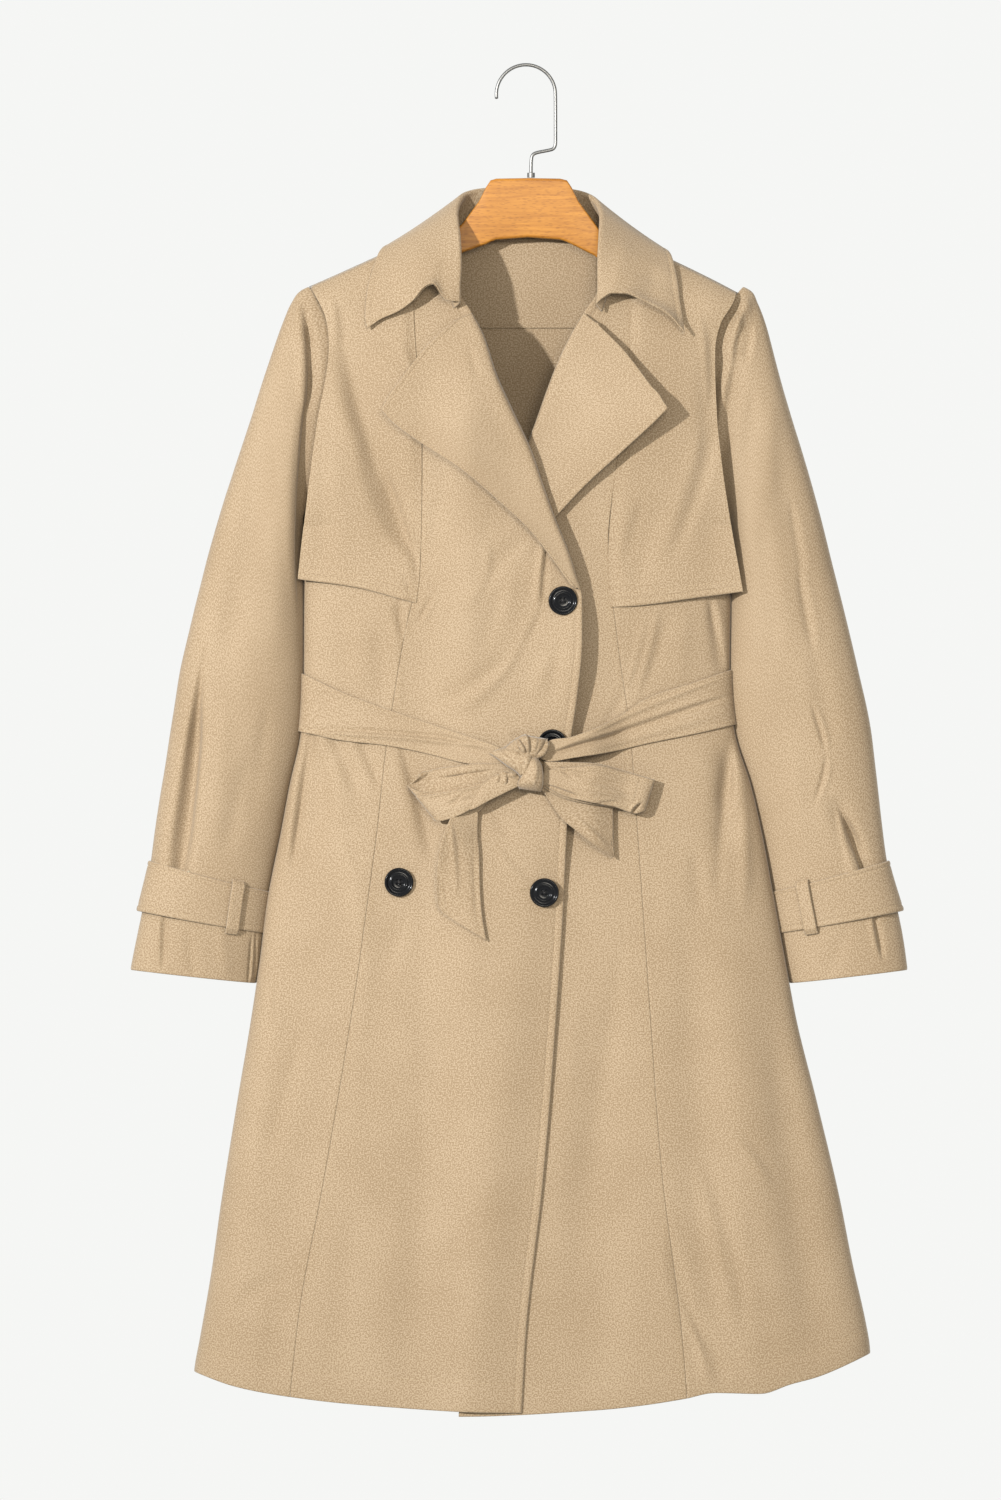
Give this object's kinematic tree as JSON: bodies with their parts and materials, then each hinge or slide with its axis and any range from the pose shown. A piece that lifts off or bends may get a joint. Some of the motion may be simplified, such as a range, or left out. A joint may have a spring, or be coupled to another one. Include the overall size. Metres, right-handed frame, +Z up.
{
  "type": "trench coat on a hanger",
  "caption": "Belted knee-length trench coat with wide lapels and storm flaps, hung on a flat wooden hanger with a wire hook.",
  "frame": {"origin": "the inside top of the hanger's hook, where a rail carries it; the coat hangs below", "axes": "+Z up, -Y the coat's front, +X the wearer's left"},
  "size_m": [0.682, 0.1075, 1.181],
  "materials": {
    "cloth": "matt cotton gabardine",
    "horn": "polished, near black",
    "beech": "varnished, satin",
    "steel": "plated wire"
  },
  "bodies": {
    "root": {"back": "cloth", "side_front_right": "cloth", "side_front_left": "cloth", "centre_front_right": "cloth", "centre_front_left": "cloth", "gun_flap_right": "cloth", "gun_flap_left": "cloth", "lapel_right": "cloth", "lapel_left": "cloth", "collar": "cloth", "back_neck_facing": "cloth", "sleeve_right": "cloth", "sleeve_left": "cloth", "cuff_strap_right": "cloth", "cuff_strap_left": "cloth", "cuff_loop_right": "cloth", "cuff_loop_left": "cloth", "belt_band_right": "cloth", "belt_band_left": "cloth", "belt_back": "cloth", "belt_knot": "cloth", "bow_loop_right": "cloth", "bow_loop_left": "cloth", "belt_tail_right": "cloth", "belt_tail_left": "cloth", "button_chest": "horn", "button_waist": "horn", "button_skirt_left": "horn", "button_skirt_right": "horn", "hanger_wood": "beech", "hanger_hook": "steel", "hanger_ferrule": "steel"}
  },
  "joints": []
}
